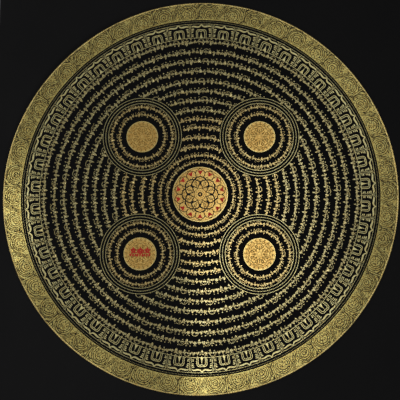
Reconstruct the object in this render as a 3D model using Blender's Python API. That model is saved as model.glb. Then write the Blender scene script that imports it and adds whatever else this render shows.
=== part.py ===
"""Painted thangka cloth: one square piece of sized cotton, hung by its top edge with no rod.

Metres, +Z up, the painted face towards -Y. The origin is the middle of the top edge, halfway
through the cloth. The painting is colour alone, so the cloth is the only solid. It hangs flat
at its head and loosens into shallow swells towards the hem, where the cloth still remembers
being rolled up.
"""

import math

import bpy

# Driving sizes
PAINTED_CIRCLE = 0.500  # diameter of the gold-banded circle on the cloth
MARGIN = 0.010  # bare ground between that circle and each edge
THICKNESS = 0.0012  # cotton with its chalk and glue ground

# The rest follows from them
WIDTH = PAINTED_CIRCLE + 2 * MARGIN
DROP = WIDTH  # height from the top edge to the hem
HALF_WIDTH = WIDTH / 2

# How it hangs
FLAT_HEAD = 0.020  # strip along the top edge that is held flat
SIDE_DRAW_IN = 0.0010  # how far each side bows inwards at mid height
HEM_CURL_HEIGHT = 0.075  # the hem's roll memory starts this far up
HEM_CURL_FORWARD = 0.0022  # and brings the hem this far forward
SIDE_CURL_WIDTH = 0.050
SIDE_CURL_BACK = 0.0014  # the side edges turn back by this much at the hem

# Shallow swells, named by column: middle across the cloth, half width, how far forward at the hem
SWELLS = (
    (-0.195, 0.055, 0.0013),
    (-0.100, 0.050, -0.0010),
    (-0.008, 0.050, 0.0018),
    (0.098, 0.060, -0.0007),
    (0.205, 0.050, 0.0009),
)

# Facets of the sheet
COLUMNS = 28
LOOSE_ROWS = 26  # below the flat head
HEAD_ROWS = 2

GROUND_BLACK = (0.008, 0.008, 0.009, 1.0)
GROUND_ROUGHNESS = 0.9


def clear_scene():
    for thing in list(bpy.data.objects):
        bpy.data.objects.remove(thing)


def eased(share):
    """0 to 1 with a level start and end."""
    share = min(1.0, max(0.0, share))
    return share * share * (3.0 - 2.0 * share)


def stands_forward(across, below):
    """How far the cloth stands towards the viewer, at a place across it and below its top edge."""
    looseness = eased((below - FLAT_HEAD) / (DROP - FLAT_HEAD))
    forward = 0.0
    for middle, half_width, at_hem in SWELLS:
        forward += at_hem * math.exp(-(((across - middle) / half_width) ** 2))
    into_side = max(0.0, abs(across) - (HALF_WIDTH - SIDE_CURL_WIDTH)) / SIDE_CURL_WIDTH
    forward -= SIDE_CURL_BACK * into_side**2
    into_hem = max(0.0, below - (DROP - HEM_CURL_HEIGHT)) / HEM_CURL_HEIGHT
    return looseness * forward + HEM_CURL_FORWARD * into_hem**2


def row_depths():
    """Distance below the top edge of each row of points, the flat head's rows first."""
    depths = []
    for row in range(HEAD_ROWS):
        depths.append(FLAT_HEAD * row / HEAD_ROWS)
    for row in range(LOOSE_ROWS + 1):
        depths.append(FLAT_HEAD + (DROP - FLAT_HEAD) * row / LOOSE_ROWS)
    return depths


def hang(sheet):
    """Moves the points of a flat grid to where they hang. The grid runs over -1 to 1 both ways."""
    depths = row_depths()
    last_row = len(depths) - 1
    for point in sheet.data.vertices:
        row = round((1.0 - point.co.y) / 2.0 * last_row)
        below = depths[row]
        drawn_in = SIDE_DRAW_IN * math.sin(math.pi * below / DROP)
        across = point.co.x * (HALF_WIDTH - drawn_in)
        point.co = (across, -stands_forward(across, below), -below)


def ground_material():
    material = bpy.data.materials.new("black_ground")
    material.use_nodes = True
    shader = material.node_tree.nodes["Principled BSDF"]
    shader.inputs["Base Color"].default_value = GROUND_BLACK
    shader.inputs["Roughness"].default_value = GROUND_ROUGHNESS
    shader.inputs["Metallic"].default_value = 0.0
    return material


def painted_cloth():
    bpy.ops.mesh.primitive_grid_add(
        x_subdivisions=COLUMNS,
        y_subdivisions=LOOSE_ROWS + HEAD_ROWS,
        size=2.0,
    )
    sheet = bpy.context.object
    sheet.name = "painted_cloth"
    hang(sheet)
    body = sheet.modifiers.new("cloth_thickness", "SOLIDIFY")
    body.thickness = THICKNESS
    body.offset = 0.0
    body.use_even_offset = True
    sheet.data.shade_smooth()
    sheet.data.materials.append(ground_material())
    return sheet


clear_scene()
painted_cloth()
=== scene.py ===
"""The looks of a painted thangka cloth: gold rings, petals and sprigs laid by brush on black cotton.

The painting is drawn flat first, in millimetres from the middle of its circle, with X to the right
and Y up. It is then laid on the hanging cloth, whose swells have the same sizes as the solid's.
A touch is one stroke or dab of the brush. Every touch is a thin closed slab of paint.
"""

import math

import bpy
import numpy as np
from mathutils import Matrix, Vector


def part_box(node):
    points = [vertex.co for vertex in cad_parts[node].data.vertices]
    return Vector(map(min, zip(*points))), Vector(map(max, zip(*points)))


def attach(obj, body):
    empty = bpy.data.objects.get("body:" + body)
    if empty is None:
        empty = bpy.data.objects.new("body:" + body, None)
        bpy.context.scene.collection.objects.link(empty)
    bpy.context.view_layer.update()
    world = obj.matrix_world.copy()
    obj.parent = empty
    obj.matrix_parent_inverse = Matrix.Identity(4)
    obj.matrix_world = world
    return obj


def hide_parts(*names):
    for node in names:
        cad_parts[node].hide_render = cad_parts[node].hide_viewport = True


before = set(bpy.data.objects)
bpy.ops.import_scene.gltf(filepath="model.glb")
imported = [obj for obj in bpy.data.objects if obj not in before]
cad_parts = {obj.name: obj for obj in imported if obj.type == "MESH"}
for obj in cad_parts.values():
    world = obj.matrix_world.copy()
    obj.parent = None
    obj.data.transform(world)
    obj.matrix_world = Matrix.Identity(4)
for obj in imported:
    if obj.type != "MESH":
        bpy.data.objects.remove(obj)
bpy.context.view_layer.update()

MM = 0.001

# -------- sizes of the cloth, in metres

LOW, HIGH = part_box("painted_cloth")
DROP = HIGH.z - LOW.z
HALF_WIDTH = (HIGH.x - LOW.x) / 2
MIDDLE_HEIGHT = (HIGH.z + LOW.z) / 2
CLOTH_THICKNESS = 0.0007
CLOTH_CELLS = 132
THREADS_PER_METRE = 1500.0
CREASE_DEG = 40  # the cloth's cut edges are sharper than this

# How it hangs, as the solid does
FLAT_HEAD = 0.020
SIDE_DRAW_IN = 0.0010
HEM_CURL_HEIGHT = 0.075
HEM_CURL_FORWARD = 0.0022
SIDE_CURL_WIDTH = 0.050
SIDE_CURL_BACK = 0.0014
SWELLS = (
    (-0.195, 0.055, 0.0013),
    (-0.100, 0.050, -0.0010),
    (-0.008, 0.050, 0.0018),
    (0.098, 0.060, -0.0007),
    (0.205, 0.050, 0.0009),
)

# -------- sizes of the painting, in millimetres

BAND_OUTER = 250.0
BAND_INNER = 227.1
BAND_MIDDLE = (BAND_OUTER + BAND_INNER) / 2
BAND_LIP = 0.9  # the gold stops this far short of BAND_OUTER, and the scrolls of both edges
EDGE_LINE = (BAND_OUTER - 3.0, BAND_OUTER - 2.6)
RIM_BEADS = 490
RIM_BEAD_RADIUS = BAND_OUTER - 1.35
RIM_BEAD_SIZE = (2.0, 1.7)
BORDER_DOTS = 784
BORDER_DOT_RADIUS = 225.0
BORDER_DOT_SIZE = (0.68, 0.68)
PETALS = 46
PETAL_TOP = 221.8
PETAL_BASE = 203.3
PETAL_START = -math.pi / PETALS
PANELS = 25
PANEL_START = math.radians(13.3)
RING_WIDTHS = {PETAL_TOP: 0.4, PETAL_BASE: 0.5}

# How long one petal, one panel and one garland of sprigs are as drawn. Each is then fitted to its
# share of the ring
PETAL_LENGTH = 29.0
PANEL_LENGTH = 59.9
SPRIG_LENGTH = 31.6

# The rows of sprigs, ruled by eye, so not quite evenly spaced
ROW_RADII = (42.3, 50.9, 62.1, 74.0, 86.5, 97.4, 109.2, 121.7, 133.9, 146.4, 159.7, 172.7, 185.1, 198.2)
FULL_PITCH = 12.6  # rows closer together than this have smaller sprigs

# Across and up to the middle of each small circle, and the radius of its gold disc
SMALL_CIRCLES = {
    "upper_left": (-74.5, 74.3, 20.1),
    "upper_right": (74.8, 75.0, 19.9),
    "lower_left": (-75.5, -74.8, 20.6),
    "lower_right": (74.7, -74.4, 20.3),
}
SMALL_ROW_RADII = (29.0, 38.7)
SMALL_ROW_SIZE = 0.76
SPRIG_SLIP = 0.07
ROW_START = 2.4  # each row begins this much further round than the one inside it, in radians
SMALL_RINGS = (43.1, 50.1)
SMALL_RING_WIDTH = 0.44
SMALL_DOTS = 160
SMALL_DOT_RADIUS = 46.65
SMALL_DOT_SIZE = (0.98, 0.98)
SMALL_CLEARING = 51.5
CENTRE_DISC = 35.0
CENTRE_PLACE = (-0.3, 0.8)
RIM = 1.2

# The circle is a little out of round, because the cloth has eased since it was painted: how far, in
# which direction in degrees clockwise from the top, and over how many degrees. Then how much more it
# eased near its edges, as a power of the way out
EASED = ((-3.4, 316, 23), (1.2, 82, 20), (1.1, 218, 34))
EASED_POWER = 3.4

# The last petals were set out a little wide: where in degrees clockwise from the top, over how many
# degrees, and how far the petals before and after them are out of place
SEAM_DEG = 283
SEAM_SPREAD_DEG = 14
SEAM_BEFORE_DEG = -1.3
SEAM_AFTER_DEG = 0.25

# How far paint stands proud of the cloth
SUNK = -0.05
GOLD_TOP = 0.13
LINE_FOOT = 0.09
LINE_TOP = 0.20
ACCENT_TOP = 0.22

# How wide the top of the paint is, as a share of its foot
DROP_CROWN = 0.72
BEAD_CROWN = 0.66
STROKE_CROWN = 0.7
CROWN_EDGE_DEG = 15  # its edges are sharper than this
LEAST_STROKE = 0.12  # no part of a stroke is thinner than this

# How much of a touch's slip goes into its turn, in radians, and into its place
TURN_UNEVEN = 0.9
PLACE_UNEVEN = 2.2

rng = np.random.default_rng(46)


# -------- how the cloth hangs


def eased(share):
    share = np.clip(share, 0.0, 1.0)
    return share * share * (3.0 - 2.0 * share)


def stands_forward(across, below):
    """How far the cloth stands towards the viewer, in metres, at a place on it."""
    looseness = eased((below - FLAT_HEAD) / (DROP - FLAT_HEAD))
    forward = np.zeros_like(across)
    for middle, half_width, at_hem in SWELLS:
        forward = forward + at_hem * np.exp(-(((across - middle) / half_width) ** 2))
    into_side = np.maximum(0.0, np.abs(across) - (HALF_WIDTH - SIDE_CURL_WIDTH)) / SIDE_CURL_WIDTH
    forward = forward - SIDE_CURL_BACK * into_side**2
    into_hem = np.maximum(0.0, below - (DROP - HEM_CURL_HEIGHT)) / HEM_CURL_HEIGHT
    return looseness * forward + HEM_CURL_FORWARD * into_hem**2


def out_of_round(x, y):
    """How many times as far from the middle a place lies now as when it was drawn."""
    radius = np.hypot(x, y)
    clockwise = np.degrees(np.arctan2(x, y))
    moved = np.zeros_like(x)
    for by, direction, spread in EASED:
        aside = (clockwise - direction + 180) % 360 - 180
        moved += by * np.exp(-0.5 * (aside / spread) ** 2)
    return 1 + moved * (radius / BAND_OUTER) ** EASED_POWER / np.maximum(radius, 1.0)


def laid_on_cloth(points, foot, top):
    """Points drawn flat, in millimetres, with heights from 0 to 1, as places on the cloth's face."""
    stretch = out_of_round(points[:, 0], points[:, 1])
    across = points[:, 0] * stretch * MM
    up = points[:, 1] * stretch * MM + MIDDLE_HEIGHT
    proud = (foot + (top - foot) * points[:, 2]) * MM
    face = stands_forward(across, HIGH.z - up) + CLOTH_THICKNESS / 2
    return np.column_stack((across, -(face + proud), up))


# -------- touches of the brush, modelled once


def start_clean():
    if bpy.context.object and bpy.context.object.mode != "OBJECT":
        bpy.ops.object.mode_set(mode="OBJECT")
    bpy.ops.object.select_all(action="DESELECT")


def thicken(crown):
    """In edit mode, raises the flat shape by 1 and draws its top in, which gives the paint a crown."""
    bpy.ops.mesh.select_all(action="SELECT")
    bpy.ops.mesh.extrude_region_move(TRANSFORM_OT_translate={"value": (0, 0, 1)})
    bpy.ops.transform.resize(value=(crown[0], crown[1], 1), center_override=(0, 0, 0))
    bpy.ops.mesh.select_all(action="SELECT")
    bpy.ops.mesh.normals_make_consistent(inside=False)


def lifted():
    """Takes the modelled shape off the scene as (points, faces)."""
    bpy.ops.object.mode_set(mode="OBJECT")
    shape = bpy.context.object
    points = np.array([v.co for v in shape.data.vertices])
    faces = [tuple(f.vertices) for f in shape.data.polygons]
    bpy.data.objects.remove(shape)
    return points, faces


def dab(sides, crown):
    """A round dab, 1 across."""
    start_clean()
    bpy.ops.mesh.primitive_circle_add(vertices=sides, radius=0.5, fill_type="NGON")
    bpy.ops.object.mode_set(mode="EDIT")
    thicken((crown, crown))
    return lifted()


def drop():
    """A drop, 1 long and 1 wide: round at its foot at X = 0 and drawn out to a tip at X = 1."""
    points, faces = dab(10, DROP_CROWN)
    along = points[:, 0] + 0.5
    foot_width = 1.12
    narrowing = 0.85
    points[:, 1] *= foot_width - narrowing * along**2
    points[:, 0] = along
    return points, faces


def blade(steps):
    """A straight stroke, 1 long and 1 wide, from X = 0 to 1, with cross lines to bend it at."""
    start_clean()
    bpy.ops.mesh.primitive_grid_add(x_subdivisions=steps, y_subdivisions=1, size=1)
    bpy.ops.object.mode_set(mode="EDIT")
    thicken((1.0, STROKE_CROWN))
    points, faces = lifted()
    points[:, 0] += 0.5
    return points, faces


def through(corners, share):
    """A smooth path through a few points, by share of the way along, as (places, directions)."""
    corners = np.array(corners, float)
    ends = (2 * corners[0] - corners[1], 2 * corners[-1] - corners[-2])
    padded = np.vstack((ends[0], corners, ends[1]))
    along = np.clip(share, 0, 1) * (len(corners) - 1)
    leg = np.minimum(along.astype(int), len(corners) - 2)
    t = (along - leg)[:, None]
    a, b, c, d = padded[leg], padded[leg + 1], padded[leg + 2], padded[leg + 3]
    square = 2 * a - 5 * b + 4 * c - d
    cube = 3 * b - a - 3 * c + d
    places = 0.5 * (2 * b + (c - a) * t + square * t**2 + cube * t**3)
    runs = 0.5 * ((c - a) + 2 * square * t + 3 * cube * t**2)
    return places, runs / np.linalg.norm(runs, axis=1)[:, None]


def stroke(corners, steps, start, middle, end):
    """A brush stroke through the corners, with its width at its start, middle and end, all in mm."""
    points, faces = blade(steps)
    share = points[:, 0]
    places, runs = through(corners, share)
    width = start * (1 - share) * (1 - 2 * share) + middle * 4 * share * (1 - share)
    width = np.maximum(width + end * share * (2 * share - 1), LEAST_STROKE)
    sideways = np.column_stack((-runs[:, 1], runs[:, 0]))
    bent = places + sideways * (points[:, 1] * width)[:, None]
    return np.column_stack((bent, points[:, 2])), faces


def arc_corners(radius, from_deg, to_deg, count):
    angles = np.radians(np.linspace(from_deg, to_deg, count))
    return np.column_stack((radius * np.cos(angles), radius * np.sin(angles)))


def spiral_corners(inner, outer, turns, start_deg, count):
    share = np.linspace(0, 1, count)
    angles = math.radians(start_deg) + math.tau * turns * share
    radii = inner + (outer - inner) * share
    return np.column_stack((radii * np.cos(angles), radii * np.sin(angles)))


def mirrored(corners):
    return [(-x, y) for x, y in corners]


def both_sides(corners):
    """A path up one side and down the other. The last corner given lies on the middle line."""
    return list(corners) + mirrored(reversed(corners[:-1]))


def flat_ring(inner, outer, sides, bands):
    """A flat ring of paint, from a circle that is extruded outwards."""
    start_clean()
    bpy.ops.mesh.primitive_circle_add(vertices=sides, radius=inner, fill_type="NOTHING")
    bpy.ops.object.mode_set(mode="EDIT")
    bpy.ops.mesh.select_all(action="SELECT")
    radius = inner
    for band in range(1, bands + 1):
        wider = inner + (outer - inner) * band / bands
        bpy.ops.mesh.extrude_region_move()
        bpy.ops.transform.resize(value=(wider / radius, wider / radius, 1), center_override=(0, 0, 0))
        radius = wider
    thicken((1, 1))
    return lifted()


def flat_disc(radius, sides, bands):
    """A flat disc of paint, drawn in ring by ring to a small cap at its middle."""
    start_clean()
    bpy.ops.mesh.primitive_circle_add(vertices=sides, radius=radius, fill_type="NOTHING")
    bpy.ops.object.mode_set(mode="EDIT")
    bpy.ops.mesh.select_all(action="SELECT")
    for band in range(bands, 1, -1):
        bpy.ops.mesh.extrude_region_move()
        shrink = (band - 1) / band
        bpy.ops.transform.resize(value=(shrink, shrink, 1), center_override=(0, 0, 0))
    bpy.ops.mesh.edge_face_add()
    thicken((1, 1))
    return lifted()


# -------- placing touches


def at(shape, centre):
    """The shape moved to a centre."""
    points, faces = shape
    return points + np.array((centre[0], centre[1], 0.0)), faces


def hand_wobble(points, by):
    """A hand's slow waver, in uneven waves some 45 mm long, the same at the same place on the cloth."""
    x, y = points[:, 0], points[:, 1]
    moved = points.copy()
    moved[:, 0] += by * np.sin(y / 7.3 + 1.7 * np.sin(x / 11.9))
    moved[:, 1] += by * np.sin(x / 6.7 + 1.9 * np.sin(y / 13.1) + 0.8)
    return moved


def ring_of(
    touches, shapes, radius, count, length, start=0.0, size=1.0, centre=(0, 0), slip=0.0, keep=None
):
    """Repeats a run of touches round a ring, count times, as (points, faces).

    Each touch is (shape, along, up, turn, long, wide): along the run from 0 to length, outwards from
    the ring, turned anticlockwise in degrees. start is where the first run begins, in radians
    clockwise from the top. slip is the hand's unevenness. keep says which touches to paint.
    """
    step = math.tau / count
    all_points, all_faces, used = [], [], 0
    for name, along, up, turn, long, wide in touches:
        points, faces = shapes[name]
        uneven = rng.normal(0, slip, (4, count, 1))
        turns = math.radians(turn) + uneven[0] * TURN_UNEVEN
        x = points[None, :, 0] * long * (1 + uneven[1])
        y = points[None, :, 1] * wide * (1 + uneven[1])
        run = along + np.cos(turns) * x - np.sin(turns) * y + uneven[2] * PLACE_UNEVEN
        out = up + np.sin(turns) * x + np.cos(turns) * y + uneven[3] * PLACE_UNEVEN
        angle = start + step * (np.arange(count)[:, None] + run / length)
        reach = radius + out * size
        across = centre[0] + reach * np.sin(angle)
        upwards = centre[1] + reach * np.cos(angle)
        heights = np.broadcast_to(points[None, :, 2], (count, len(points)))
        placed = np.stack((across, upwards, heights), 2)
        if keep is not None:
            middles = placed[:, :, :2].mean(1)
            placed = placed[[keep(x, y) for x, y in middles]]
        all_points.append(placed.reshape(-1, 3))
        for copy in range(len(placed)):
            first = used + copy * len(points)
            all_faces += [tuple(first + i for i in face) for face in faces]
        used += placed.shape[0] * len(points)
    return np.concatenate(all_points), all_faces


def spray_of(touches, shapes, centre, size):
    """Touches placed straight about a centre, not on a ring."""
    parts = []
    for name, along, up, turn, long, wide in touches:
        points, faces = shapes[name]
        a = math.radians(turn)
        x = along + math.cos(a) * points[:, 0] * long - math.sin(a) * points[:, 1] * wide
        y = up + math.sin(a) * points[:, 0] * long + math.cos(a) * points[:, 1] * wide
        placed = np.column_stack((centre[0] + size * x, centre[1] + size * y, points[:, 2]))
        parts.append((placed, faces))
    return gathered(parts)


def gathered(parts):
    """Several (points, faces) as one."""
    all_points, all_faces, used = [], [], 0
    for points, faces in parts:
        all_points.append(points)
        all_faces += [tuple(used + i for i in face) for face in faces]
        used += len(points)
    return np.concatenate(all_points), all_faces


def painted(name, parts, material, foot=SUNK, top=GOLD_TOP, wobble=0.0):
    """Lays parts on the cloth as one piece that rides with it."""
    points, faces = gathered(parts)
    if wobble:
        points = hand_wobble(points, wobble)
    mesh = bpy.data.meshes.new(name)
    mesh.from_pydata(laid_on_cloth(points, foot, top).tolist(), [], faces)
    mesh.shade_smooth()
    mesh.set_sharp_from_angle(angle=math.radians(CROWN_EDGE_DEG))
    mesh.materials.append(material)
    mesh.update()
    piece = bpy.data.objects.new(name, mesh)
    bpy.context.scene.collection.objects.link(piece)
    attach(piece, "root")
    return piece


def clear_of_small_circles(x, y):
    return all(math.hypot(x - cx, y - cy) > SMALL_CLEARING for cx, cy, _ in SMALL_CIRCLES.values())


# -------- the motifs, in millimetres

DABS = {"drop": drop(), "bead": dab(8, BEAD_CROWN)}

# A garland in six motifs, each a few touches: shape, across, up, turn, long, wide
BLOSSOM = tuple(("drop", 0, 0.1, 90 + 72 * petal, 2.6, 2.3) for petal in range(5)) + (
    ("drop", 0.5, 2.4, 58, 2.4, 1.1),
    ("drop", -0.5, 2.4, 122, 2.4, 1.1),
)
LEAF_FAN = (
    ("drop", 0, -1.9, 90, 4.2, 2.5),
    ("drop", -0.2, -1.7, 150, 3.4, 2.4),
    ("drop", 0.2, -1.7, 30, 3.4, 2.4),
    ("bead", 0.2, 3.9, 0, 1.9, 1.9),
)
BERRIES = (
    ("bead", -1.3, -0.3, 0, 2.5, 2.5),
    ("bead", 1.3, -0.3, 0, 2.5, 2.5),
    ("bead", 0, 1.3, 0, 2.1, 2.1),
    ("drop", 0.3, -1.0, 262, 3.9, 2.3),
)
BUD = (
    ("drop", 0, -1.7, 90, 4.9, 3.8),
    ("drop", -0.3, -1.5, 160, 2.7, 1.8),
    ("drop", 0.3, -1.5, 20, 2.7, 1.8),
    ("bead", -0.3, 4.4, 0, 1.4, 1.4),
)
BELL = (
    ("drop", 0.2, 1.5, 262, 5.9, 3.8),
    ("drop", -0.3, 0.9, 156, 3.0, 1.9),
    ("drop", 0.3, 0.9, 24, 3.0, 1.9),
    ("bead", 0, 4.0, 0, 1.9, 1.9),
)
LEAF_PAIR = (
    ("drop", -0.1, 0, 176, 2.8, 3.0),
    ("drop", 0.1, 0, 4, 2.8, 3.0),
    ("bead", 0, 2.5, 0, 1.5, 1.5),
    ("bead", 0, -2.6, 0, 1.6, 1.6),
)
MOTIF_PITCH = SPRIG_LENGTH / 6
STEM = (("stem", 0, -0.2, 0, 1, 1),)


def garland(motifs):
    """The motifs side by side, each on its length of thin stem."""
    touches = []
    for order, motif in enumerate(motifs):
        middle = (order + 0.5) * MOTIF_PITCH
        for name, x, y, turn, long, wide in STEM + motif:
            touches.append((name, middle + x, y, turn, long, wide))
    return tuple(touches)


SPRIG_SHAPES = DABS | {
    "stem": stroke([(-2.2, 0), (0, 0), (2.2, 0)], 2, 0.7, 1.0, 0.7),
    "tendril": stroke([(-3.4, 1.8), (-2.4, 3.4), (0, 4.1), (2.3, 3.5), (3.0, 2.4)], 8, 0.5, 0.75, 0.9),
}
SPRIG = garland((BLOSSOM, LEAF_FAN, BELL, LEAF_PAIR, BUD, BERRIES)) + (
    ("tendril", 3.6 * MOTIF_PITCH, 0.2, 0, 1, 1),
)
OTHER_SPRIG = garland((BUD, LEAF_PAIR, BERRIES, BLOSSOM, BELL, LEAF_FAN)) + (
    ("tendril", 1.9 * MOTIF_PITCH, -0.2, 0, 1.1, 1),
)

# The border of upright petals. Each has a pillar at either side, rows of teeth inside the pillars, a
# brace with an ogee point, two arches over a wedge, and a drop between it and the next
PILLAR = [(-13.4, -0.4), (-13.4, 7.0), (-13.4, 13.0), (-13.2, 16.6), (-11.6, 18.3), (-8.6, 18.7)]
BRACE = [(-12.3, 14.5), (-11.6, 15.2), (-10, 15.6), (-7.6, 15.3), (-4.2, 14.8), (-1.9, 15.6), (0.15, 18.2)]
OUTER_ARCH = [(-6.5, -0.3), (-6.5, 4.5), (-6.4, 8.3), (-5.3, 10.3), (-3.0, 11.0), (0, 10.9)]
INNER_ARCH = [(-4.6, -0.3), (-4.6, 4.5), (-4.5, 7.6), (-3.3, 9.4), (-1.5, 9.5), (0, 8.7)]
PETAL_STROKES = {
    "pillar_left": stroke(PILLAR, 12, 0.6, 0.6, 0.3),
    "pillar_right": stroke(mirrored(PILLAR), 12, 0.6, 0.6, 0.3),
    "brace_left": stroke(BRACE, 14, 0.7, 2.25, 1.1),
    "brace_right": stroke(mirrored(BRACE), 14, 0.7, 2.25, 1.1),
    "outer_arch": stroke(both_sides(OUTER_ARCH), 22, 0.95, 1.0, 0.95),
    "inner_arch": stroke(both_sides(INNER_ARCH), 20, 0.85, 1.05, 0.85),
    "wedge": stroke([(0, 0.1), (0, 3.9), (0, 7.7)], 5, 4.7, 1.7, 0.4),
}
PETAL_SHAPES = DABS | PETAL_STROKES
PETAL_MIDDLE = PETAL_LENGTH / 2
# Each row of teeth: height, long, wide
TOOTH_ROWS = ((11.9, 4.0, 1.8), (9.8, 3.2, 1.6), (7.8, 2.7, 1.5), (4.4, 3.0, 1.7), (2.5, 2.8, 1.4))
TOOTH_FOOT = 12.9  # the teeth start this far from the petal's middle
TEETH = tuple(
    ("bead", PETAL_MIDDLE + side * (TOOTH_FOOT - long / 2), height, 0, long, wide)
    for side in (-1, 1)
    for height, long, wide in TOOTH_ROWS
)
PETAL = TEETH + tuple((name, PETAL_MIDDLE, 0, 0, 1, 1) for name in PETAL_STROKES)
PETAL += (("drop", 0.2, 17.6, 270, 5.6, 0.9),)


def spaced_by_eye(shape):
    """The petals were set out by eye, clockwise and a hair too close, so the last ones are wide."""
    points, faces = shape
    radius = np.hypot(points[:, 0], points[:, 1])
    angle = np.arctan2(points[:, 0], points[:, 1])
    past_seam = (np.degrees(angle) - SEAM_DEG) % 360
    stops = (0, SEAM_SPREAD_DEG, 360)
    moved = np.interp(past_seam, stops, (SEAM_BEFORE_DEG, SEAM_AFTER_DEG, SEAM_BEFORE_DEG))
    angle = angle + np.radians(moved)
    return np.column_stack((radius * np.sin(angle), radius * np.cos(angle), points[:, 2])), faces


# The scrolls drawn into the gold band: in each panel a whorl and an open flower under hoods of fine
# arcs, with a sheaf of slanting lines between them
BAND_REACH = (BAND_OUTER - BAND_INNER) / 2 - BAND_LIP
FINE = 1.1  # how wide the arcs are
WHORL_PLACE = PANEL_LENGTH * 0.25
FLOWER_PLACE = PANEL_LENGTH * 0.76
SWEEP_PLACE = PANEL_LENGTH * 0.49
WHORL_DROP = -3.5
WHORL = spiral_corners(1.5, 5.3, 1.6, 200, 18)
SWEEP = [(-5.6, -BAND_REACH), (-2.3, -4.2), (1.4, 3.2), (5.4, BAND_REACH)]
FLOWER_PETALS = 8
FLOWER_TURN_DEG = 20
FLOWER_EYE = 2.0
EYE_BEAD = 1.3
HOODS = (6.7, 9.0, 11.3, 13.1)
HOOD_STARTS_DEG = (0, 0, 0, 72)  # the widest stops short of the slanting lines
HOOD_FOOT = 7.2
# Each leaf at the ends of a panel: its share of the way along, its height and its turn
EDGE_LEAVES = ((0.045, 7.2, 62), (0.075, 7.8, 40), (0.955, 7.2, 118), (0.925, 7.8, 140))
EDGE_LEAVES += ((0.045, -8.6, -30), (0.955, -8.6, 210))


def hood(radius, from_deg):
    """A fine arc over a whorl, from an angle above its right foot round to its left foot."""
    foot_deg = math.degrees(math.asin(min(1.0, HOOD_FOOT / radius)))
    return stroke(arc_corners(radius, from_deg - foot_deg, 180 + foot_deg, 9), 16, 0.5, FINE, 0.5)


def hoods_over(place, count):
    return [(f"hood_{order}", place, WHORL_DROP, 0, 1, 1) for order in range(count)]


def open_flower(along, up):
    """Fine petals that leave the flower's eye open."""
    touches = []
    for petal in range(FLOWER_PETALS):
        turn = FLOWER_TURN_DEG + 360 / FLOWER_PETALS * petal
        foot_x = along + FLOWER_EYE * math.cos(math.radians(turn))
        foot_y = up + FLOWER_EYE * math.sin(math.radians(turn))
        touches.append(("drop", foot_x, foot_y, turn, 3.2, 1.1))
    return touches


SCROLL_SHAPES = DABS | {
    "panel_line": stroke([(0, -BAND_REACH), (0.25, 0), (0, BAND_REACH)], 6, 1.0, 0.9, 1.0),
    "whorl": stroke(WHORL, 34, 0.8, FINE, 0.5),
    "sweep": stroke(SWEEP, 9, 0.6, 0.9, 0.5),
    "edge_leaf": stroke([(-3.6, 0), (-1.6, 1.3), (0.6, 1.5), (3.2, 0.2)], 6, 0.5, 1.2, 0.4),
}
for order, (radius, from_deg) in enumerate(zip(HOODS, HOOD_STARTS_DEG)):
    SCROLL_SHAPES[f"hood_{order}"] = hood(radius, from_deg)
SCROLL = (
    *hoods_over(WHORL_PLACE, len(HOODS)),
    *hoods_over(FLOWER_PLACE, len(HOODS) - 1),
    *(("panel_line", along, 0, 0, 1, 1) for along in (-1.3, 0.9)),
    ("whorl", WHORL_PLACE, WHORL_DROP, 0, 1, 1),
    *open_flower(FLOWER_PLACE, WHORL_DROP),
    *(("bead", place, WHORL_DROP, 0, EYE_BEAD, EYE_BEAD) for place in (WHORL_PLACE, FLOWER_PLACE)),
    *(("sweep", SWEEP_PLACE + further, 0, 0, 1, 1) for further in (0, 3.8, 1.9)),
    *(("edge_leaf", PANEL_LENGTH * share, up, turn, 1, 1) for share, up, turn in EDGE_LEAVES),
)

# Short dark flicks of the brush that fill the panels, about 3 mm apart, shaken out of their rows
FLICK_HEIGHTS = np.array((-7.6, -3.8, 0.0, 3.8, 7.6))
FLICK_STEP = 2.6
FLICK_PLACES = np.arange(1.6, PANEL_LENGTH - 1, FLICK_STEP)
FLICK_PLACES += rng.uniform(-0.8, 0.8, len(FLICK_PLACES))
FLICKS = tuple(
    ("drop", along, up, rng.uniform(0, 360), rng.uniform(1.6, 2.8), rng.uniform(0.8, 1.3))
    for along in FLICK_PLACES
    for up in rng.uniform(-1.2, 1.2) + FLICK_HEIGHTS
)

# The rosette at the centre, drawn in ink on the gold, with red buds in its outer petals
OUTER_PETALS = 14
OUTER_PETAL_BASE = 23.6
OUTER_PETAL = [(-4.7, 0), (-5.3, 3.2), (-4.0, 6.4), (-1.3, 8.1), (0.1, 9.0)]
INNER_PETALS = 8
INNER_PETAL_BASE = 7.4
INNER_PETAL = [(-2.7, 0), (-4.9, 4.6), (-5.5, 8.4), (-3.1, 12.2), (0.1, 15.4)]
INNER_LINING = [(-1.3, 1.4), (-3.0, 5.0), (-3.4, 8.2), (-1.9, 10.8), (0.1, 12.8)]
WAVE = [(-4.4, 0.6), (-2.2, -1.0), (0, 0.9), (2.2, -1.0), (4.4, 0.6)]
WAVES = 16
WAVE_RADIUS = 22.6
EYE_BEADS = 12
EYE_BEAD_RADIUS = 5.1
# Each ink ring: its inner radius, its width and its sides
ROSETTE_RINGS = ((CENTRE_DISC - RIM - 0.8, 0.5, 96), (1.1, 1.8, 32), (INNER_PETAL_BASE - 0.3, 0.6, 64))

RED_BUD = (
    ("drop", 0, 6.6, 270, 5.2, 4.2),
    ("drop", 0, 5.4, 20, 3.3, 2.2),
    ("drop", 0, 5.4, 160, 3.3, 2.2),
)

# The faint rosettes, with places as shares of their disc's radius
FAINT_PETALS = 8
FAINT_EYE = 0.13
WREATH_LEAVES = 20
WREATH = 0.87
WREATH_LINE = 0.80

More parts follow.
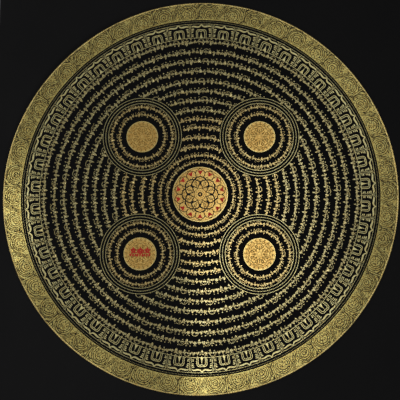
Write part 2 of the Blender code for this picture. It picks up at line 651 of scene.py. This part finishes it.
# A red branch of blossom, as drawn 25 mm across
BRANCH_SIZE = 1.1
BRANCH_AT = (0.4, 0.8)  # from the middle of its disc
TWIG = [(-12.5, -1.6), (-6.5, 0.9), (0, -0.4), (6.5, 1.0), (12.5, -1.0)]
HANGING_LEAVES = 9
BRANCH_SHAPES = DABS | {"twig": stroke(TWIG, 16, 0.6, 1.1, 0.5)}
RED_FLOWERS = ((-8.1, 2.9, 4.2), (0.1, 2.9, 4.5), (8.2, 3.1, 4.2))
RED_BRANCH = []
for x, y, size in RED_FLOWERS:
    RED_BRANCH += [("drop", x, y, 18 + 72 * petal, size, size * 0.78) for petal in range(5)]
RED_BRANCH += [
    ("twig", 0, 0, 0, 1, 1),
    ("drop", -3.8, 0.8, 62, 3.6, 2.3),
    ("drop", 4.3, 0.9, 112, 3.6, 2.3),
]
for order, x in enumerate(np.linspace(-10.4, 10.6, HANGING_LEAVES)):
    RED_BRANCH.append(("drop", x, -0.3, 248 + 6 * (order % 3), 4.2 + 0.5 * (order % 2), 2.7))
ROSETTE_SHAPES = DABS | {
    "outer_petal": stroke(both_sides(OUTER_PETAL), 26, 0.8, 0.95, 0.8),
    "inner_petal": stroke(both_sides(INNER_PETAL), 30, 0.9, 1.15, 0.9),
    "inner_lining": stroke(both_sides(INNER_LINING), 24, 0.4, 0.45, 0.4),
    "vein": stroke([(0, 3.0), (0, 9.6)], 3, 0.35, 0.5, 0.2),
    "wave": stroke(WAVE, 20, 0.8, 0.95, 0.8),
}


# -------- node tools


def feed(tree, socket, value):
    """Gives a socket a value, or wires it from another socket."""
    if isinstance(value, bpy.types.NodeSocket):
        tree.links.new(value, socket)
    else:
        socket.default_value = value


def put(tree, kind, inputs=None, **settings):
    """Adds a node. inputs maps a socket's name or number to what feeds it."""
    made = tree.nodes.new(kind)
    for name, value in settings.items():
        setattr(made, name, value)
    for key, value in (inputs or {}).items():
        feed(tree, made.inputs[key], value)
    return made


def math_of(tree, operation, first, second=0.0):
    return put(tree, "ShaderNodeMath", {0: first, 1: second}, operation=operation).outputs[0]


def noise_of(tree, place, scale, detail=3.0, roughness=0.55, distortion=0.0):
    inputs = {"Vector": place, "Scale": scale, "Detail": detail}
    inputs |= {"Roughness": roughness, "Distortion": distortion}
    return put(tree, "ShaderNodeTexNoise", inputs).outputs["Fac"]


def ranged(tree, value, low, high, to_low, to_high):
    inputs = {"Value": value, "From Min": low, "From Max": high, "To Min": to_low, "To Max": to_high}
    return put(tree, "ShaderNodeMapRange", inputs).outputs["Result"]


def mixed(tree, factor, a, b, blend="MIX"):
    """A mix of two colours by a factor, or one times the other."""
    made = put(tree, "ShaderNodeMix", data_type="RGBA", blend_type=blend)
    for key, value in (("Factor_Float", factor), ("A_Color", a), ("B_Color", b)):
        feed(tree, next(s for s in made.inputs if s.identifier == key), value)
    return next(s for s in made.outputs if s.identifier == "Result_Color")


def grey_of(tree, value):
    """A value as a grey, to multiply a colour by."""
    made = put(tree, "ShaderNodeCombineColor")
    for channel in range(3):
        tree.links.new(value, made.inputs[channel])
    return made.outputs[0]


def new_group(name, inputs, outputs):
    """A node group. inputs lists (name, kind, default), and outputs lists (name, kind)."""
    tree = bpy.data.node_groups.new(name, "ShaderNodeTree")
    for label, kind, default in inputs:
        socket = tree.interface.new_socket(name=label, in_out="INPUT", socket_type="NodeSocket" + kind)
        if default is not None:
            socket.default_value = default
    for label, kind in outputs:
        tree.interface.new_socket(name=label, in_out="OUTPUT", socket_type="NodeSocket" + kind)
    return tree, tree.nodes.new("NodeGroupInput"), tree.nodes.new("NodeGroupOutput")


def plain_weave():
    """Over-and-under threads. Height runs from 0 to 1."""
    tree, given, result = new_group(
        "plain_weave",
        (("Place", "Vector", None), ("Threads per metre", "Float", THREADS_PER_METRE)),
        (("Height", "Float"),),
    )
    parted = put(tree, "ShaderNodeSeparateXYZ", {0: given.outputs["Place"]})
    half_turns = math_of(tree, "MULTIPLY", given.outputs["Threads per metre"], math.pi)
    waves = []
    for axis in ("X", "Z"):
        angle = math_of(tree, "MULTIPLY", parted.outputs[axis], half_turns)
        waves.append(math_of(tree, "SINE", angle))
    warp, weft = (math_of(tree, "ABSOLUTE", wave) for wave in waves)
    warp_over = math_of(tree, "GREATER_THAN", math_of(tree, "MULTIPLY", *waves), 0.0)
    upper = math_of(tree, "MULTIPLY", warp, ranged(tree, weft, 0, 1, 0.45, 1))
    lower = math_of(tree, "MULTIPLY", weft, ranged(tree, warp, 0, 1, 0.45, 1))
    lift = math_of(tree, "MULTIPLY", warp_over, math_of(tree, "SUBTRACT", upper, lower))
    tree.links.new(math_of(tree, "ADD", lift, lower), result.inputs["Height"])
    return tree


def hand_laid_gold():
    """Gold paint, full where the brush was loaded and thin where it ran dry, with streaks and grain."""
    tree, given, result = new_group(
        "hand_laid_gold",
        (
            ("Place", "Vector", None),
            ("Full Gold", "Color", (0.7, 0.5, 0.2, 1)),
            ("Thin Gold", "Color", (0.3, 0.2, 0.08, 1)),
            ("Patches per metre", "Float", 60.0),
            ("Least Roughness", "Float", 0.35),
            ("Most Roughness", "Float", 0.55),
        ),
        (("Color", "Color"), ("Roughness", "Float"), ("Height", "Float")),
    )
    place = given.outputs["Place"]
    patches = noise_of(tree, place, given.outputs["Patches per metre"], 5, 0.6, 0.4)
    load = ranged(tree, patches, 0.34, 0.62, 0, 1)
    grain = noise_of(tree, place, 2600.0, 2, 0.6)
    streaks = noise_of(tree, place, 700.0, 3, 0.65, 1.2)
    colour = mixed(tree, load, given.outputs["Thin Gold"], given.outputs["Full Gold"])
    shade = grey_of(tree, ranged(tree, streaks, 0.3, 0.7, 0.72, 1.16))
    colour = mixed(tree, 1.0, colour, shade, "MULTIPLY")
    greener = ranged(tree, noise_of(tree, place, 380.0, 3, 0.6), 0.38, 0.62, 0, 1)
    tint = mixed(tree, greener, (1.0, 0.93, 0.78, 1), (0.94, 1.0, 1.0, 1))
    colour = mixed(tree, 1.0, colour, tint, "MULTIPLY")
    tree.links.new(colour, result.inputs["Color"])
    least, most = given.outputs["Least Roughness"], given.outputs["Most Roughness"]
    tree.links.new(ranged(tree, streaks, 0.3, 0.7, most, least), result.inputs["Roughness"])
    height = math_of(tree, "ADD", math_of(tree, "MULTIPLY", grain, 0.3), streaks)
    tree.links.new(height, result.inputs["Height"])
    return tree


WEAVE = plain_weave()
LAID_GOLD = hand_laid_gold()

# Each gold: full colour, thin colour, patches per metre, and least and most roughness
GOLDS = {
    "band_gold": ((1.00, 0.84, 0.29), (0.42, 0.29, 0.08), 620, 0.16, 0.26),
    "fine_gold": ((1.00, 0.90, 0.46), (0.90, 0.76, 0.34), 420, 0.14, 0.22),
    "thin_gold": ((0.84, 0.72, 0.37), (0.38, 0.31, 0.125), 420, 0.14, 0.22),
    "warm_gold": ((1.00, 0.79, 0.36), (0.52, 0.36, 0.13), 420, 0.14, 0.22),
    "disc_gold": ((0.96, 0.62, 0.19), (0.76, 0.46, 0.13), 90, 0.18, 0.28),
    "rim_gold": ((1.00, 0.78, 0.32), (0.82, 0.60, 0.20), 300, 0.16, 0.26),
    "faint_line": ((0.50, 0.31, 0.08), (0.34, 0.21, 0.06), 200, 0.42, 0.6),
}
GOLD_METALLIC = 0.85

# Each matt colour over the gold: where it is deep, where it is bright, and patches per metre
MATT_COLOURS = {
    "drawn_line": ((0.004, 0.003, 0.002), (0.06, 0.041, 0.014), 620),
    "ink": ((0.004, 0.004, 0.004), (0.012, 0.010, 0.009), 300),
    "vermilion": ((0.50, 0.016, 0.012), (0.74, 0.055, 0.032), 260),
}

# The ground: its blacks, the second coat's edge in metres from the middle and its share of the first
# coat's lightness, how much lighter or darker it is from side to side as painted light, and from hem to
# head
DEEP_BLACK = (0.0115, 0.0114, 0.0117)
RUBBED_BLACK = (0.0225, 0.0222, 0.0218)
SECOND_COAT_EDGE = (0.246, 0.254)
SECOND_COAT_DEPTH = 0.55
PAINTED_LIGHT_LEFT_TO_RIGHT = (1.11, 0.71)
LIGHTNESS_HEM_TO_HEAD = (1.09, 0.91)

# The back
CLEAN_COTTON = (0.60, 0.53, 0.41)
STAINED_COTTON = (0.51, 0.445, 0.34)
COTTON_SHADOW = (0.16, 0.13, 0.1)
PALE_SLUB = (0.68, 0.62, 0.5)

# How deep each surface's bump is, in metres
GOLD_BUMP = 0.000006
COLOUR_BUMP = 0.00003
GROUND_BUMP = 0.00008
COTTON_BUMP = 0.00012


def new_material(name, **sockets):
    """A new material, its tree, its shader with these values set, and the place on the object."""
    material = bpy.data.materials.new(name)
    material.use_nodes = True
    tree = material.node_tree
    shader = tree.nodes["Principled BSDF"]
    for key, value in sockets.items():
        shader.inputs[key.replace("_", " ")].default_value = value
    place = put(tree, "ShaderNodeTexCoord").outputs["Object"]
    return material, tree, shader, place


def bump_into(tree, shader, height, distance):
    bump = put(tree, "ShaderNodeBump", {"Height": height, "Distance": distance, "Strength": 1.0})
    tree.links.new(bump.outputs["Normal"], shader.inputs["Normal"])


def weave_of(tree, place):
    inputs = {"Place": place, "Threads per metre": THREADS_PER_METRE}
    return put(tree, "ShaderNodeGroup", inputs, node_tree=WEAVE).outputs["Height"]


def gold_paint(name, full, thin, patches, least, most):
    """Gold paint over the cloth's weave."""
    material, tree, shader, place = new_material(name, Metallic=GOLD_METALLIC)
    inputs = {
        "Place": place,
        "Full Gold": (*full, 1),
        "Thin Gold": (*thin, 1),
        "Patches per metre": patches,
        "Least Roughness": least,
        "Most Roughness": most,
    }
    gold = put(tree, "ShaderNodeGroup", inputs, node_tree=LAID_GOLD)
    tree.links.new(gold.outputs["Color"], shader.inputs["Base Color"])
    tree.links.new(gold.outputs["Roughness"], shader.inputs["Roughness"])
    threads = math_of(tree, "MULTIPLY", weave_of(tree, place), 0.8)
    bump_into(tree, shader, math_of(tree, "ADD", gold.outputs["Height"], threads), GOLD_BUMP)
    return material


def black_ground():
    """Matt black ground colour on sized cotton: the weave shows, rubbed a little greyer in places.

    A second coat lies inside the circle, so the ground is deeper there. Painted light makes it greyer
    to the left, and it is also greyer towards the hem.
    """
    material, tree, shader, place = new_material("black_ground", Specular_IOR_Level=0.09)
    weave = weave_of(tree, place)
    clouds = noise_of(tree, place, 9.0, 4, 0.6, 0.3)
    rubbed = ranged(tree, math_of(tree, "MULTIPLY", clouds, weave), 0.2, 0.75, 0, 1)
    middle = {0: place, 1: (0, 0, MIDDLE_HEIGHT)}
    from_middle = put(tree, "ShaderNodeVectorMath", middle, operation="DISTANCE").outputs["Value"]
    second_coat = ranged(tree, from_middle, *SECOND_COAT_EDGE, SECOND_COAT_DEPTH, 1)
    sides = put(tree, "ShaderNodeSeparateXYZ", {0: place})
    # painted light: the ground is painted lighter to the left and darker to the right
    painted_side_light = ranged(tree, sides.outputs["X"], -HALF_WIDTH, HALF_WIDTH, *PAINTED_LIGHT_LEFT_TO_RIGHT)
    downwards = ranged(tree, sides.outputs["Z"], LOW.z, HIGH.z, *LIGHTNESS_HEM_TO_HEAD)
    painted_light_and_hem_tone = math_of(tree, "MULTIPLY", painted_side_light, downwards)
    depth = grey_of(tree, math_of(tree, "MULTIPLY", second_coat, painted_light_and_hem_tone))
    black = mixed(tree, rubbed, (*DEEP_BLACK, 1), (*RUBBED_BLACK, 1))
    tree.links.new(mixed(tree, 1.0, black, depth, "MULTIPLY"), shader.inputs["Base Color"])
    tree.links.new(ranged(tree, clouds, 0.3, 0.7, 0.8, 0.95), shader.inputs["Roughness"])
    grain = math_of(tree, "MULTIPLY", noise_of(tree, place, 1800.0, 2, 0.5), 0.4)
    bump_into(tree, shader, math_of(tree, "ADD", weave, grain), GROUND_BUMP)
    return material


def bare_cotton():
    """The back: unbleached cotton, stiff with size, a little stained where the ground soaked in."""
    sheen = {"Specular_IOR_Level": 0.2, "Sheen_Weight": 0.15}
    material, tree, shader, place = new_material("bare_cotton", **sheen)
    weave = weave_of(tree, place)
    stains = ranged(tree, noise_of(tree, place, 14.0, 5, 0.62, 0.5), 0.42, 0.72, 0, 1)
    slubs = noise_of(tree, place, 420.0, 3, 0.6, 1.5)
    between_threads = ranged(tree, weave, 0, 1, 0.34, 0)
    thick_threads = ranged(tree, slubs, 0.5, 0.72, 0, 0.35)
    cotton = mixed(tree, stains, (*CLEAN_COTTON, 1), (*STAINED_COTTON, 1))
    cotton = mixed(tree, between_threads, cotton, (*COTTON_SHADOW, 1))
    cotton = mixed(tree, thick_threads, cotton, (*PALE_SLUB, 1))
    tree.links.new(cotton, shader.inputs["Base Color"])
    tree.links.new(ranged(tree, slubs, 0.3, 0.7, 0.78, 0.95), shader.inputs["Roughness"])
    bump_into(tree, shader, math_of(tree, "ADD", weave, slubs), COTTON_BUMP)
    return material


def matt_colour(name, deep, bright, patches):
    """Ink or mineral colour drawn over the gold, a little uneven."""
    material, tree, shader, place = new_material(name, Specular_IOR_Level=0.25)
    load = ranged(tree, noise_of(tree, place, patches, 4, 0.6, 0.6), 0.3, 0.7, 0, 1)
    tree.links.new(mixed(tree, load, (*deep, 1), (*bright, 1)), shader.inputs["Base Color"])
    tree.links.new(ranged(tree, load, 0, 1, 0.75, 0.55), shader.inputs["Roughness"])
    bump_into(tree, shader, weave_of(tree, place), COLOUR_BUMP)
    return material


# -------- the cloth


def cloth_sheet():
    """The cloth itself, black in front and bare behind, on the solid's own swells."""
    start_clean()
    bpy.ops.mesh.primitive_grid_add(x_subdivisions=CLOTH_CELLS, y_subdivisions=CLOTH_CELLS, size=2)
    sheet = bpy.context.object
    sheet.name = "cloth_sheet"
    sheet.data.name = "cloth_sheet"
    flat = np.array([v.co for v in sheet.data.vertices])
    below = (1 - flat[:, 1]) / 2 * DROP
    drawn_in = SIDE_DRAW_IN * np.sin(np.pi * below / DROP)
    across = flat[:, 0] * (HALF_WIDTH - drawn_in)
    hung = np.column_stack((across, -stands_forward(across, below), HIGH.z - below))
    sheet.data.vertices.foreach_set("co", hung.ravel())
    body = sheet.modifiers.new("thickness", "SOLIDIFY")
    body.thickness = CLOTH_THICKNESS
    body.offset = 0.0
    bpy.ops.object.modifier_apply(modifier=body.name)
    sheet.data.materials.append(black_ground())
    sheet.data.materials.append(bare_cotton())
    for face in sheet.data.polygons:
        faces_viewer = face.normal.y < -0.5
        face.material_index = 0 if faces_viewer else 1
    bpy.ops.object.shade_smooth_by_angle(angle=math.radians(CREASE_DEG))
    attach(sheet, "root")
    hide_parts("painted_cloth")
    return sheet


# -------- the painting


def paint_all():
    """Every layer of paint, from the rim to the middle."""
    gold = {name: gold_paint(name, *look) for name, look in GOLDS.items()}
    matt = {name: matt_colour(name, *look) for name, look in MATT_COLOURS.items()}
    return [
        *outer_band(gold["band_gold"], gold["rim_gold"], matt["drawn_line"]),
        *petal_border(gold["fine_gold"]),
        *sprig_rows(gold["warm_gold"], gold["thin_gold"]),
        *gold_discs(gold["disc_gold"], gold["rim_gold"]),
        over_gold("faint_rosettes", faint_rosettes(), gold["faint_line"], 0.1),
        over_gold("centre_rosette", centre_rosette(), matt["ink"], 0.12),
        over_gold("red_buds", red_buds(), matt["vermilion"], 0.1, ACCENT_TOP),
    ]


def over_gold(name, parts, material, wobble=0.0, top=LINE_TOP):
    """A piece of paint that lies on the gold."""
    return painted(name, parts, material, LINE_FOOT, top, wobble)


def dots(radius, count, long, wide, centre=(0, 0), slip=0.0):
    """A ring of round dabs, evenly spaced."""
    return ring_of([("bead", 0.5, 0, 0, long, wide)], DABS, radius, count, 1, centre=centre, slip=slip)


def panels_of(touches, slip):
    """The touches of one panel, repeated round the band."""
    return ring_of(touches, SCROLL_SHAPES, BAND_MIDDLE, PANELS, PANEL_LENGTH, PANEL_START, slip=slip)


def outer_band(band_gold, rim_gold, drawn_line):
    """The flat gold band, the scrolls drawn into it, and its beaded rim."""
    band = flat_ring(BAND_INNER, BAND_OUTER - BAND_LIP, 360, 6)
    flicks = panels_of(FLICKS, slip=0.2)
    rim = dots(RIM_BEAD_RADIUS, RIM_BEADS, *RIM_BEAD_SIZE, slip=0.02)
    scrolls = panels_of(SCROLL, slip=0.012)
    lines = [scrolls, flicks, flat_ring(*EDGE_LINE, 288, 1)]
    return [
        painted("outer_band", [band], band_gold),
        over_gold("band_scrolls", lines, drawn_line, 0.15),
        over_gold("band_rim", [rim], rim_gold),
    ]


def petal_border(fine_gold):
    """The upright petals, and all the thin rings and rows of dots."""
    petals = ring_of(PETAL, PETAL_SHAPES, PETAL_BASE, PETALS, PETAL_LENGTH, PETAL_START, slip=0.01)
    return [
        painted("compass_rings", compass_rings(), fine_gold),
        painted("bead_rings", bead_rings(), fine_gold),
        painted("petal_border", [spaced_by_eye(petals)], fine_gold, wobble=0.12),
    ]


def compass_rings():
    """Thin gold circles drawn with a compass: two at the petals, and two round each small circle."""
    rings = [line_ring(radius, width, 288) for radius, width in RING_WIDTHS.items()]
    for x, y, _ in SMALL_CIRCLES.values():
        rings += [at(line_ring(radius, SMALL_RING_WIDTH, 144), (x, y)) for radius in SMALL_RINGS]
    return rings


def line_ring(radius, width, sides):
    return flat_ring(radius - width / 2, radius + width / 2, sides, 1)


def bead_rings():
    """Rings of small gold dots: one inside the band, one round each small circle."""
    rings = [dots(BORDER_DOT_RADIUS, BORDER_DOTS, *BORDER_DOT_SIZE)]
    for x, y, _ in SMALL_CIRCLES.values():
        rings.append(dots(SMALL_DOT_RADIUS, SMALL_DOTS, *SMALL_DOT_SIZE, (x, y)))
    return rings


def gold_discs(disc_gold, rim_gold):
    """The flat gold discs, four small and one at the centre, with a paler rim round each."""
    small = []
    rims = []
    for x, y, radius in SMALL_CIRCLES.values():
        small.append(at(flat_disc(radius, 72, 6), (x, y)))
        rims.append(at(flat_ring(radius - RIM, radius, 96, 1), (x, y)))
    centre = at(flat_disc(CENTRE_DISC, 96, 10), CENTRE_PLACE)
    rims.append(at(flat_ring(CENTRE_DISC - RIM, CENTRE_DISC, 120, 1), CENTRE_PLACE))
    return [
        painted("small_discs", small, disc_gold),
        painted("centre_disc", [centre], disc_gold),
        over_gold("disc_rims", rims, rim_gold),
    ]


def round_about(touches, radius, count, centre):
    """Touches of a rosette, drawn once above a point of a ring and repeated round it at true size."""
    return ring_of(touches, ROSETTE_SHAPES, radius, count, math.tau * radius / count, centre=centre)


def faint_rosettes():
    """Tone on tone in each small disc: a flower of eight petals inside a wreath."""
    parts = []
    petal = [("inner_lining", 0, 0, 0, 1, 1), ("vein", 0, 0, 0, 1, 0.8)]
    leaves = [("drop", 0, 0, 38, 3.4, 1.5), ("drop", 0, 0, -38, 3.4, 1.5)]
    for x, y, radius in SMALL_CIRCLES.values():
        wreath_line = radius * WREATH_LINE
        eye = radius * FAINT_EYE
        parts.append(at(flat_ring(wreath_line, wreath_line + 0.45, 72, 1), (x, y)))
        parts.append(at(flat_ring(eye, eye + 0.5, 32, 1), (x, y)))
        parts.append(round_about(petal, eye, FAINT_PETALS, (x, y)))
        parts.append(round_about(leaves, radius * WREATH, WREATH_LEAVES, (x, y)))
    return parts


def centre_rosette():
    """A flower of eight petals in a ring of fourteen, with a scalloped ring between, all in ink."""
    flower = [(name, 0, 0, 0, 1, 1) for name in ("inner_petal", "inner_lining", "vein")]
    parts = []
    for radius, width, sides in ROSETTE_RINGS:
        parts.append(at(flat_ring(radius, radius + width, sides, 1), CENTRE_PLACE))
    return parts + [
        round_about([("bead", 0, 0, 0, 1.1, 1.1)], EYE_BEAD_RADIUS, EYE_BEADS, CENTRE_PLACE),
        round_about(flower, INNER_PETAL_BASE, INNER_PETALS, CENTRE_PLACE),
        round_about([("wave", 0, 0, 0, 1, 1)], WAVE_RADIUS, WAVES, CENTRE_PLACE),
        round_about([("outer_petal", 0, 0, 0, 1, 1)], OUTER_PETAL_BASE, OUTER_PETALS, CENTRE_PLACE),
    ]


def red_buds():
    """A red bud in each outer petal of the centre, and a red branch on the lower left disc."""
    x, y, _ = SMALL_CIRCLES["lower_left"]
    middle = (x + BRANCH_AT[0], y + BRANCH_AT[1])
    return [
        round_about(RED_BUD, OUTER_PETAL_BASE, OUTER_PETALS, CENTRE_PLACE),
        spray_of(RED_BRANCH, BRANCH_SHAPES, middle, BRANCH_SIZE),
    ]


def big_row(order):
    """One row of sprigs round the centre, sized to its room and kept off the small circles."""
    radius = ROW_RADII[order]
    last = len(ROW_RADII) - 1
    inner = ROW_RADII[max(0, order - 1)]
    outer = ROW_RADII[min(last, order + 1)]
    pitch = (outer - inner) / (2 if 0 < order < last else 1)
    size = min(1.0, pitch / FULL_PITCH)
    garlands = (SPRIG, OTHER_SPRIG)[order % 2]
    return sprig_row(garlands, radius, ROW_START * order, size, (0, 0), clear_of_small_circles)


def sprig_row(garlands, radius, start, size, centre, keep=None):
    """As many garlands as the ring takes at this size."""
    count = round(math.tau * radius / (SPRIG_LENGTH * size))
    return ring_of(
        garlands, SPRIG_SHAPES, radius, count, SPRIG_LENGTH, start, size, centre, SPRIG_SLIP, keep
    )


def sprig_rows(inner_gold, outer_gold):
    """The rows round the centre, in four pieces from the inside out, and those of the small circles."""
    rows = [big_row(order) for order in range(len(ROW_RADII))]
    small = []
    for x, y, _ in SMALL_CIRCLES.values():
        for radius in SMALL_ROW_RADII:
            own_start = 0.9 * radius + x  # so that no two rows start alike
            small.append(sprig_row(SPRIG, radius, own_start, SMALL_ROW_SIZE, (x, y)))
    made = [painted("sprig_rows_inner", rows[:6], inner_gold, wobble=0.25)]
    groups = {"middle": rows[6:9], "outer": rows[9:12], "outermost": rows[12:]}
    for name, group in groups.items():
        made.append(painted(f"sprig_rows_{name}", group, outer_gold, wobble=0.25))
    made.append(painted("sprig_rows_small_circles", small, inner_gold, wobble=0.2))
    return made


# -------- floor, light and camera


FLOOR_SIDE = 14
FLOOR_BELOW_HEM = 0.35
FLOOR_COLOURS = ((0.74, 0.73, 0.71, 1), (0.80, 0.79, 0.77, 1))

# The camera looks up a little at the middle of the circle, from this far off
CAMERA_DISTANCE = 1.336
CAMERA_BELOW_DEG = 6.32
CAMERA_LENS = 95.04
CAMERA_ROLL_DEG = 0.34
CAMERA_AIM = (-0.00045, -0.0063)  # across and up from the middle of the circle

# Soft windows, each mirrored in the cloth at a place across and up from the middle of the circle: that
# place, the window's width and height, how many degrees its top leans to the right, and its watts
WINDOWS = {
    "right_window": ((0.055, -0.060), (0.26, 0.60), 24, 0.686),
    "lower_right_window": ((0.050, -0.130), (0.22, 0.36), 16, 0.425),
    "left_window": ((-0.296, -0.040), (0.14, 0.26), 0, 0.404),
    "upper_right_fill": ((0.160, 0.100), (0.45, 0.60), 20, 0.235),
}
WINDOW_AWAY = 1.5  # how many times as far from the cloth as the camera the windows stand

# Large panels for the back and the slanting views, which the front view mirrors past the camera: each
# one's place, side and watts
SIDE_PANELS = {
    "back_panel": ((0.6, 1.7, 0.1), 1.0, 24),
    "left_panel": ((-1.7, -1.5, 0.2), 1.1, 2.6),
    "right_panel": ((1.7, -1.5, 0.2), 1.1, 2.6),
}
STUDIO_COLOUR = (0.93, 0.94, 0.96, 1)
STUDIO_STRENGTH = 0.323


def floor():
    bpy.ops.object.select_all(action="DESELECT")
    bpy.ops.mesh.primitive_plane_add(size=FLOOR_SIDE, location=(0, 0, LOW.z - FLOOR_BELOW_HEM))
    plane = bpy.context.object
    plane.name = "floor"
    material, tree, shader, place = new_material("pale_floor", Specular_IOR_Level=0.2, Roughness=0.8)
    pale = mixed(tree, noise_of(tree, place, 3.0), *FLOOR_COLOURS)
    tree.links.new(pale, shader.inputs["Base Color"])
    plane.data.materials.append(material)


def aimed(name, data, place, target, roll_deg=0.0):
    """A light or camera at a place, turned to face a target and then rolled about that line."""
    made = bpy.data.objects.new(name, data)
    made.location = place
    facing = (target - made.location).to_track_quat("-Z", "Y").to_matrix()
    made.rotation_euler = (facing @ Matrix.Rotation(math.radians(roll_deg), 3, "Z")).to_euler()
    bpy.context.scene.collection.objects.link(made)
    return made


def area_light(name, size, power):
    light = bpy.data.lights.new(name, "AREA")
    light.shape = "RECTANGLE"
    light.size, light.size_y = size
    light.energy = power
    return light


def soft_window(name, mirrored_at, size, lean_deg, power):
    """A soft light, placed so that the camera sees it mirrored at a place on the cloth."""
    seen_at = Vector((mirrored_at[0], 0, MIDDLE_HEIGHT + mirrored_at[1]))
    eye = camera_place()
    place = seen_at + WINDOW_AWAY * Vector((seen_at.x - eye.x, eye.y, seen_at.z - eye.z))
    aimed(name, area_light(name, size, power), place, seen_at, -lean_deg)


def panel(name, place, side, power):
    """A large square light aimed at the middle of the cloth, out of sight itself."""
    lamp = aimed(name, area_light(name, (side, side), power), place, Vector((0, 0, MIDDLE_HEIGHT)))
    lamp.visible_camera = False


def light_scene():
    world = bpy.data.worlds.new("studio")
    world.use_nodes = True
    backdrop = world.node_tree.nodes["Background"]
    backdrop.inputs["Color"].default_value = STUDIO_COLOUR
    backdrop.inputs["Strength"].default_value = STUDIO_STRENGTH
    bpy.context.scene.world = world
    for name, window in WINDOWS.items():
        soft_window(name, *window)
    for name, look in SIDE_PANELS.items():
        panel(name, *look)
    bpy.context.scene.view_settings.view_transform = "Standard"


def camera_place():
    below = math.radians(CAMERA_BELOW_DEG)
    towards_viewer = -CAMERA_DISTANCE * math.cos(below)
    return Vector((0, towards_viewer, MIDDLE_HEIGHT - CAMERA_DISTANCE * math.sin(below)))


def camera():
    data = bpy.data.cameras.new("camera")
    data.sensor_width = 36
    data.lens = CAMERA_LENS
    target = Vector((CAMERA_AIM[0], 0, MIDDLE_HEIGHT + CAMERA_AIM[1]))
    bpy.context.scene.camera = aimed("camera", data, camera_place(), target, CAMERA_ROLL_DEG)


sheet = cloth_sheet()
layers = paint_all()
floor()
light_scene()
camera()
